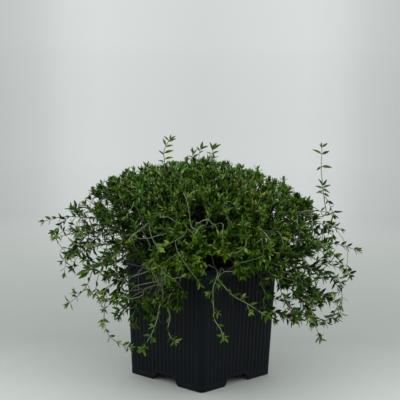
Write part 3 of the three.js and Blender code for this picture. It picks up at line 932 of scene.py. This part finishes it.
def grow_leaves(stem, points, start, spacing, size, youth_with_painted_light, ends=3, gaps=0.08):
    """Opposite pairs, each turned a quarter from the last, along a twig's points."""
    rng = stem.rng
    lengths = [(b - a).length for a, b in zip(points, points[1:])]
    total = sum(lengths)
    spin = rng.uniform(0, math.pi)
    at = start
    pairs = []
    while at < total - 1.6:
        pairs.append((at, -1))
        at += spacing * rng.uniform(0.8, 1.25)
    pairs += [(total - 0.8 * (ends - 1 - rank), rank) for rank in range(ends)]
    for number, (at, rank) in enumerate(pairs):
        run, k = at, 0
        while k < len(lengths) - 1 and run > lengths[k]:
            run -= lengths[k]
            k += 1
        point = points[k].lerp(points[k + 1], min(1.0, run / max(lengths[k], 1e-6)))
        ahead = (points[k + 1] - points[k]).normalized()
        out = spoke(ahead, spin + number * math.pi / 2 + rng.uniform(-0.3, 0.3))
        share = at / max(total, 1e-6)
        if rank < 0:
            grown, lean = size * rng.uniform(0.86, 1.26), 0.78
        else:
            grown = size * (1.12, 0.94, 0.62)[rank] * rng.uniform(0.85, 1.1)
            lean = (0.70, 0.46, 0.22)[rank]
        for sign in (1, -1):
            if rng.random() < (0.03 if rank >= 0 else gaps):
                continue
            spread = lean * rng.uniform(0.82, 1.15)
            direction = ahead * math.cos(spread) + out * sign * math.sin(spread)
            direction = (direction + UP * rng.uniform(-0.08, 0.2)).normalized()
            top = (ahead * 0.9 + UP * 0.75 - out * sign * 0.2).normalized()
            if not in_room(point + direction * grown) or not in_room(point):
                continue
            if rank < 0 and in_hollow(point + direction * grown * 0.5, 0.9):
                continue
            leaf_youth_with_painted_light = youth_with_painted_light + 0.2 * (rank >= 0) + 0.15 * share ** 2 + rng.uniform(-0.23, 0.20)
            # about one leaf in twelve is made paler: painted highlights standing in for glints on the leaves
            leaf_youth_with_painted_light += 0.3 * (rng.random() < 0.08)
            add_leaf(stem.leaves, rng, point + out * sign * 0.2, direction, top, grown, leaf_youth_with_painted_light)


def seen_leaves(stem, points, leaves):
    """Leaves given one by one, as the share of the way along the points and the leaf's own reach."""
    for share, *reach in leaves:
        at = share * (len(points) - 1)
        k = min(len(points) - 2, int(at))
        reach = Vector(reach)
        add_leaf(stem.leaves, stem.rng, points[k].lerp(points[k + 1], at - k), reach,
                 Vector((stem.rng.uniform(-0.5, 0.5), -0.7, 0.7)), reach.length, stem.rng.uniform(0.4, 0.7))


# The four pairs of a star: how far back from its tip, how long for its size, how far spread.
STAR_PAIRS = [(2.6, 1.0, 1.25), (1.2, 0.92, 0.95), (0.3, 0.7, 0.6), (0, 0.5, 0.3)]


def rosette(stem, points, size, youth_with_painted_light=0.62):
    """The open star of leaves at the end of a shoot."""
    rng = stem.rng
    ahead = (points[-1] - points[0]).normalized()
    spin = rng.uniform(0, math.pi)
    for number, (back, grown, spread) in enumerate(STAR_PAIRS):
        out = spoke(ahead, spin + number * math.pi / 2)
        for sign in (1, -1):
            lean = spread * rng.uniform(0.85, 1.15)
            direction = ahead * math.cos(lean) + out * sign * math.sin(lean)
            start = points[-1] - ahead * back
            if in_room(start + direction * size * grown):
                add_leaf(stem.leaves, rng, start + out * sign * 0.2, direction,
                         ahead + UP * 0.5 - out * sign * 0.2, size * grown * rng.uniform(0.9, 1.1),
                         youth_with_painted_light + 0.1 * number + rng.uniform(-0.1, 0.1))


def side_sprig(stem, start, aim, bend, length):
    """A short shoot off a bare part of a stem."""
    points = [start]
    count = max(3, round(length / 4))
    direction = aim.normalized()
    for _ in range(count):
        ahead = points[-1] + direction * (length / count)
        if not in_room(ahead, 1.5):
            break
        points.append(ahead)
        direction = (direction + bend / count).normalized()
    if len(points) > 2:
        stem.twig(points, 0.34, 0.24, 0.6, 1.0)
        grow_leaves(stem, points, 2.0, 3.6, 6.2, 0.55)


def grow_main(stem):
    """The stem itself, and the leaves and short shoots that stand on it."""
    rng, line = stem.rng, stem.main
    count = len(line)
    stem.twig(line, 1.05, 0.36, 0.0, 1.0, 6)
    if stem.trailing:
        first = max(10, count - 17)
        grow_leaves(stem, line[first:], 3.0, 9.0, 7.4, 0.42, ends=0)
        rosette(stem, line[-3:], 9.4)
        for k in range(first, count - 3, 2):
            if rng.random() < 0.42:
                ahead = (line[k + 1] - line[k]).normalized()
                aim = ahead * 0.6 + spoke(ahead, rng.uniform(0, 2 * math.pi))
                side_sprig(stem, line[k], aim, UP * rng.uniform(-0.3, 0.5), rng.uniform(4, 9))
    elif line[-1].z > 230:
        above = next(k for k in range(10, count) if line[k].z > dome_height(line[k]) - 6)
        grow_leaves(stem, line[BARE_POINTS:max(BARE_POINTS + 2, above)], 2.0, 6.5, 6.8, 0.34)
        seen_leaves(stem, line[above:], TOP_LEAVES[stem.number])
    else:
        grow_leaves(stem, line[BARE_POINTS:], 2.0, 6.5, 6.8, 0.34)


MOST_PLACES = 40000      # room for every place on a stem or twig that a shoot can start from
SHOOT_REACH = 21         # the length that suits a shoot best, and the shortest and longest ones
SHORTEST_SHOOT = 8
LONGEST_SHOOT = 62
OUT_OF_REACH = 60        # what a length outside these costs
TRIES = 7                # how many of the best places are tried
THIN_FRINGE = 0.9        # where the leaves stand less thickly than this, single twigs show


def grow_shoots(stems):
    """Gives every shoot end its twig, from the best place on a stem or on an earlier twig."""
    places, ways = np.zeros((MOST_PLACES, 3)), np.zeros((MOST_PLACES, 3))
    owners, used = np.zeros(MOST_PLACES, int), np.zeros(MOST_PLACES)
    load = np.zeros(len(stems))
    count = 0

    def remember(points, owner, first):
        nonlocal count
        for k in range(first, len(points) - 1):
            places[count], ways[count] = points[k], (points[k + 1] - points[k]).normalized()
            owners[count] = owner
            count += 1

    for owner, stem in enumerate(stems):
        remember(stem.main, owner, 5)
    for end, facing, share, layer, seed in shoot_ends():
        rng = random.Random(4242 + seed)
        to_end = np.array(end) - places[:count]
        length = np.sqrt((to_end ** 2).sum(1)) + 1e-6
        square = (to_end @ np.array(facing)) / length
        straight = (to_end * ways[:count]).sum(1) / length
        cost = np.abs(length - SHOOT_REACH) + 24 * (1 - square) + 9 * (1 - straight) + 7 * used[:count]
        cost += 0.12 * load[owners[:count]]
        cost[length < SHORTEST_SHOOT] += OUT_OF_REACH
        cost[length > LONGEST_SHOOT] += OUT_OF_REACH
        for pick in np.argsort(cost)[:TRIES]:
            start, onward = Vector(places[pick]), Vector(ways[pick])
            straight_on = (end - start).normalized()
            reach = (end - start).length
            aim = (onward * 0.55 + straight_on * 0.7).normalized()
            finish = facing * 0.75 + UP * (0.55 if share < 4 else rng.uniform(-0.45, 0.35))
            finish = (finish + straight_on * 0.4).normalized()
            path = bezier_path(start, start + aim * reach * 0.36, end - finish * reach * 0.34, end, 5.5)
            if all(in_room(point, 0.5) for point in path[1:]):
                break
        else:
            continue
        used[pick] += 1
        load[owners[pick]] += 1
        stem = stems[owners[pick]]
        stem.rng = rng
        fringe = layer == 0 and thickness_at(heading(end), share) < THIN_FRINGE
        stem.twig(path, 0.45, 0.3, *((0.1, 0.5) if layer or fringe else (0.5, 1.0)))
        bare = reach * (0.2 if layer else 0.3) * rng.uniform(0.6, 1.3)
        spacing, youth_with_painted_light = SHOOT_LAYERS[layer][3:]
        size = rng.uniform(6.0, 8.0) + layer
        if layer == 0 and share >= LOW:
            youth_with_painted_light += 0.03
        # thin fringe leaves are made darker: painted shade for backlit leaves that stand dark against the
        # bright floor behind them
        if fringe:
            size, spacing, youth_with_painted_light = size * 1.1, spacing * 1.08, youth_with_painted_light - 0.2
        grow_leaves(stem, path, bare, spacing, size, youth_with_painted_light)
        remember(path, owners[pick], 1)


def nearest_start(stems, point, reach):
    """The stem that passes closest to a point, and its place about that far from the point."""
    leafy = {stem: stem.main[BARE_POINTS:] for stem in stems}
    owner = min(stems, key=lambda stem: min((at - point).length for at in leafy[stem]))
    return owner, min(owner.main[10:], key=lambda at: abs((at - point).length - reach))


def length_of(points):
    return sum((b - a).length for a, b in zip(points, points[1:]))


RUNNERS = 34


def grow_runners(stems):
    """Pale wiry stems that run down over the outside of the foliage, mostly bare, with a tuft at the end."""
    rng = random.Random(99)
    for i in range(RUNNERS):
        angle = (i * GOLDEN_TURN + 40) % 360 - 180
        share = rng.uniform(2.6, 5.6)
        drift = rng.uniform(-12, 12)
        length = rng.uniform(0.5, 1.1)
        proud = rng.uniform(-5, 0)
        line = []
        for k in range(5):
            here = min(6.9, share + length * k / 4)
            point, facing = outline_place(angle + drift * (k / 4) ** 2, here)
            line.append(point + facing * (proud + 1.5 * math.sin(k * 1.3 + i)))
        owner, start = nearest_start(stems, line[0], 24)
        path = through_points([start] + line, 5.0)
        if not all(in_room(point, 1.0) for point in path[1:]) or (line[0] - start).length > 50:
            continue
        if share_kept(path[-1]) < 0.5:
            continue
        owner.twig(path, 0.38, 0.27, 0.4, 0.9)
        grow_leaves(owner, path, length_of(path) * 0.45, 8.0, rng.uniform(6.5, 8.5), 0.5, gaps=0.15)


def grow_seen(stems):
    """The sprigs, stars and bare forks that stand out in the photograph."""
    for places, leaves in SPRIGS:
        line = [Vector(place) for place in places]
        owner, start = nearest_start(stems, line[0], 20)
        owner.twig(through_points([start] + line, 3.5), 0.45, 0.32, 0.6, 1.0)
        seen_leaves(owner, line, leaves)
    for *tip, size in STARS:
        end = Vector(tip)
        owner, start = nearest_start(stems, end, 22)
        middle = start.lerp(end, 0.5) + Vector((0, 0, 5))
        line = bezier_path(start, start.lerp(middle, 0.8), end.lerp(middle, 0.6), end, 4.0)
        owner.twig(line, 0.5, 0.34, 0.6, 1.0)
        grow_leaves(owner, line, 7.0, 9.0, 7.0, 0.3, ends=0)
        rosette(owner, line[-3:], size, 0.3)
    joints = {}
    for fork in FORKS:
        line = [Vector(point) for point in fork]
        if fork[0] in joints:
            owner = joints[fork[0]]
        else:
            owner, start = nearest_start(stems, line[0], 14)
            line.insert(0, start)
        joints.update({point: owner for point in fork})
        path = through_points(line, 4.0)
        owner.twig(path, 0.38, 0.27, 0.6, 0.95)
        owner.rng = random.Random(len(joints))
        grow_leaves(owner, path, length_of(path) - 6, 4.0, 6.5, 0.25)


# The sprigs and the two large stars that are seen leaf by leaf: their line, and their leaves as the share
# of the way along it and the leaf's own reach.
SPRIGS = [
    ([(-10, -5, 214), (-11, -5, 224), (-11, -5, 230)],
     [(0.6, -5, 1, 2), (0.55, 6, -1, 5), (0.75, 4, 1, 7), (0.9, 0, -1, 7), (1, -2, 1, 4)]),
    ([(-126, -36, 157), (-137, -39, 155), (-145, -41, 151)],
     [(1, -6, -2, 3), (1, 3, -2, 7), (1, -4, -2, -5), (1, 5, -2, -4), (0.96, 0, -3, 5), (0.9, -2, -2, -6),
      (0.6, 2, -1, 6), (0.55, 3, -1, -5)]),
    ([(-100, -40, 128), (-107, -44, 121), (-112, -46, 118), (-113, -44, 113)],
     [(0.5, 13, 0, 5), (0.62, 11, -2, -1), (0.6, -3, -4, 10), (0.66, -6, -3, 7), (0.75, -14, -2, -3),
      (0.85, -10, -2, -7), (0.72, -4, -6, 1), (0.7, 5, -6, 2)]),
    ([(-6, -8, 219), (-5, -8, 225), (-4, -8, 231), (-3, -8, 234)],
     [(0.6, 4, 1, 3), (0.8, -4, 0, 4), (0.95, 7, -1, 5), (1, 2, 0, 8)]),
]
# The leaves of the three stems that end above the dome, in the same way.
TOP_LEAVES = {
    0: [(0.4, 6, 0, -4), (0.38, -5, 0, 3), (0.44, -7, 0, -3), (0.45, 8, -1, -2), (0.47, -7, -2, 4),
        (0.48, 8, -1, 4), (0.5, -3, -2, 8), (0.5, 4, -2, 7), (0.46, 3, -5, 1), (0.74, -5, -1, -4),
        (0.74, 11, -1, 0), (0.89, -9, -1, 6), (0.89, 8, 1, 3), (0.97, -2, 0, 5), (1, 6, -1, 4),
        (1, -1, 1, 5)],
    1: [(0.75, 7, 1, 3), (0.7, -6, 0, 3), (1, -2, -1, 9), (1, 8, 0, 8), (1, 2, 1, 8), (1, 4, -1, 8)],
    2: [(0.25, -6, -2, 3), (0.35, 9, 1, 4), (0.5, -5, 1, 5), (0.55, 10, -2, 4), (0.75, 8, 1, 3),
        (0.8, -4, -1, 7), (0.9, 8, 1, 4), (0.95, -5, -1, 5), (1, 1, 0, 5), (1, 6, 0, 3)],
}
# Open stars of leaves at the ends of fringe shoots: right, away, up, length of their longest leaves.
STARS = [(-134, -32, 130, 9), (-130, -30, 116, 9), (-141, -12, 119, 9), (-118, -34, 139, 10),
         (-110, -44, 144, 9), (-112, -22, 132, 9), (-127, -14, 174, 9), (130, -25, 172, 10),
         (136, -30, 66, 9), (151, -6, 106, 9), (112, -42, 66, 9), (124, -30, 62, 9), (131, -22, 64, 9)]
# Bare pale stems on the front of the foliage: each starts inside and ends in a small tuft.
FORKS = [
    [(-13, -99, 172), (-15, -98, 186), (-18, -94, 198), (-23, -87, 207)],
    [(-18, -94, 198), (-13, -89, 203), (-6, -85, 205)],
    [(-24, -88, 162), (-27, -104, 153), (-18, -110, 138), (-8, -106, 124), (-4, -102, 117)],
    [(-66, -72, 159), (-65, -86, 158), (-53, -92, 159), (-48, -94, 161), (-36, -98, 165)],
    [(-52, -80, 150), (-53, -94, 148), (-44, -97, 151), (-36, -99, 158)],
    [(-50, -80, 132), (-51, -94, 129), (-60, -90, 124), (-70, -84, 119)],
    [(-42, -80, 122), (-43, -96, 119), (-55, -92, 115), (-66, -86, 111)],
    [(-51, -82, 134), (-51, -95, 131), (-47, -96, 122), (-42, -95, 112)],
    [(-57, -76, 106), (-58, -88, 103), (-66, -86, 99), (-74, -82, 97)],
    [(-44, -82, 180), (-42, -96, 180), (-35, -98, 181), (-27, -101, 176)],
    [(-8, -86, 174), (-7, -100, 175), (-2, -103, 179), (3, -103, 180), (8, -101, 174)],
    [(17, -90, 131), (19, -99, 129), (29, -97, 129), (38, -93, 128)],
    [(50, -76, 145), (52, -92, 142), (57, -89, 137), (63, -84, 130)],
    [(-67, -64, 188), (-69, -78, 187), (-72, -80, 182), (-76, -80, 176)],
    [(-104, -36, 158), (-124, -38, 147), (-134, -40, 131), (-137, -40, 112)],
    [(134, -34, 156), (141, -32, 146), (145, -30, 132), (144, -28, 116)],
]

# ---- the object ----
build_pot(black_plastic())
build_mix(peat())
LEAF_FORMS = leaf_shapes()
all_stems = [Stem(*numbered) for numbered in enumerate(stem_routes())]
for one_stem in all_stems:
    grow_main(one_stem)
grow_shoots(all_stems)
grow_runners(all_stems)
grow_seen(all_stems)
bark_finish, leaf_finish = bark(), thyme_leaf()
for one_stem in all_stems:
    label = f"{one_stem.number + 1:02d}"
    for face in one_stem.twigs.faces:
        face.smooth = len(face.verts) == 4
    finish_piece(f"twigs_{label}", one_stem.twigs, bark_finish, PLANT_TO_ROW, "stem_bark", f"stem_{label}")
    finish_piece(f"leaves_{label}", one_stem.leaves, leaf_finish, PLANT_TO_ROW, "leaf", f"stem_{label}")
for form in LEAF_FORMS:
    for shape_mesh in form:
        bpy.data.meshes.remove(shape_mesh)


# ---- floor, light and camera ----
FLOOR_HALF = 30
CAMERA_TURN = 43.716     # degrees round from the row's own front
CAMERA_TILT = 9.556
CAMERA_ROLL = 0.849
CAMERA_AWAY = 1.4934     # metres
SEEN_HEIGHT = 0.18098
SEEN_RIGHT = -0.00276
PICTURE_WIDTH = 400      # pixels
FOCAL_LENGTH = 1476.3    # pixels
SENSOR_WIDTH = 36
# The soft light by height, for the side behind the camera and the side behind the object.
LEVEL_LIGHT = (0.55, 0.575, 0.56)
FRONT_LIGHT = ((0.60, 0.32), (0.65, 0.38), (0.78, 1.20), (0.90, 1.85), (0.98, 0.82))
BACK_LIGHT = ((0.60, 1.75), (0.65, 2.10), (0.78, 2.00), (0.90, 1.05), (0.98, 0.82))


def build_floor():
    bm = bmesh.new()
    bmesh.ops.create_grid(bm, x_segments=8, y_segments=8, size=FLOOR_HALF)
    mesh = mesh_of("floor", bm)
    mesh.materials.append(floor_with_painted_light())
    floor = put_in_scene("floor", mesh)


def light_studio():
    """A pale studio, all soft light: bright low down at the back, and high up at the front."""
    world = bpy.data.worlds.new("studio")
    bpy.context.scene.world = world
    sky = Finish(world, "Generated")
    height = sky.maths("MULTIPLY_ADD", sky.parts(sky.place)["Z"], 0.5, 0.5)
    front, back = (
        sky.ramp(height, [(0.0, LEVEL_LIGHT), (0.545, LEVEL_LIGHT)] + [
            (at, (tone * 0.98, tone * 1.02, tone)) for at, tone in light])
        for light in (FRONT_LIGHT, BACK_LIGHT))
    turn = math.radians(CAMERA_TURN)
    away = (-math.sin(turn), math.cos(turn), 0)
    behind = sky.lay("VectorMath", {0: sky.place, 1: away}, operation="DOT_PRODUCT")
    share = sky.maths("MULTIPLY_ADD", behind.outputs["Value"], 0.5, 0.5)
    sky.feed(sky.nodes["Background"], {"Color": sky.mix(share, front, back)})


def place_camera():
    turn, tilt, roll = (math.radians(angle) for angle in (CAMERA_TURN, CAMERA_TILT, CAMERA_ROLL))
    camera = bpy.data.cameras.new("camera")
    camera.sensor_width = SENSOR_WIDTH
    camera.lens = FOCAL_LENGTH / PICTURE_WIDTH * SENSOR_WIDTH
    camera.clip_end = 200
    eye = put_in_scene("camera", camera)
    eye.matrix_world = (
        Matrix.Translation((0, 0, SEEN_HEIGHT)) @ Matrix.Rotation(turn, 4, "Z")
        @ Matrix.Rotation(math.pi / 2 - tilt, 4, "X") @ Matrix.Translation((SEEN_RIGHT, 0, CAMERA_AWAY))
        @ Matrix.Rotation(roll, 4, "Z"))
    bpy.context.scene.camera = eye


build_floor()
light_studio()
place_camera()
bpy.context.scene.view_settings.view_transform = "Standard"
